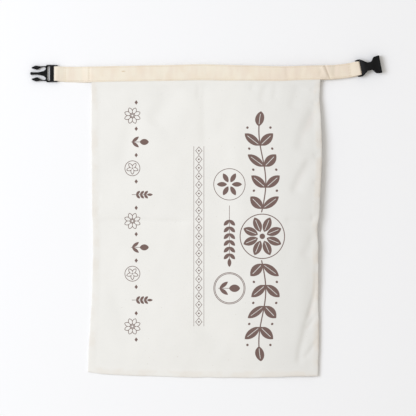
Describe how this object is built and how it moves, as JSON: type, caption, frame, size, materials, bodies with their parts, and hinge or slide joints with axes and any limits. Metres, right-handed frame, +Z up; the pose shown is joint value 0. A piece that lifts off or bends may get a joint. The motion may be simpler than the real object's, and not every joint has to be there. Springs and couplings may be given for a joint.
{
  "type": "bread bag",
  "caption": "Flat cloth bread bag of light waxed cotton, shown empty, with a tape heading whose ends carry the halves of a side-release buckle that hold its rolled mouth shut",
  "frame": {"origin": "On the underside of the back panel, where the bag lies on the surface, under the middle of the bag", "axes": "+Z up out of the front panel, +X along the heading tape towards the socket half of the buckle, +Y from the sewn bottom to the mouth"},
  "size_m": [0.4606, 0.4216, 0.0132],
  "materials": {
    "front_panel": "waxed plain-weave cotton, off-white, with a brown print",
    "back_panel": "waxed plain-weave cotton, off-white",
    "heading_tape": "cotton twill tape, natural cream",
    "prong_buckle_half": "moulded black acetal, satin",
    "socket_buckle_half": "moulded black acetal, satin"
  },
  "bodies": {
    "root": {"front_panel": "front_panel", "back_panel": "back_panel", "heading_tape": "heading_tape", "prong_buckle_half": "prong_buckle_half", "socket_buckle_half": "socket_buckle_half"}
  },
  "joints": []
}
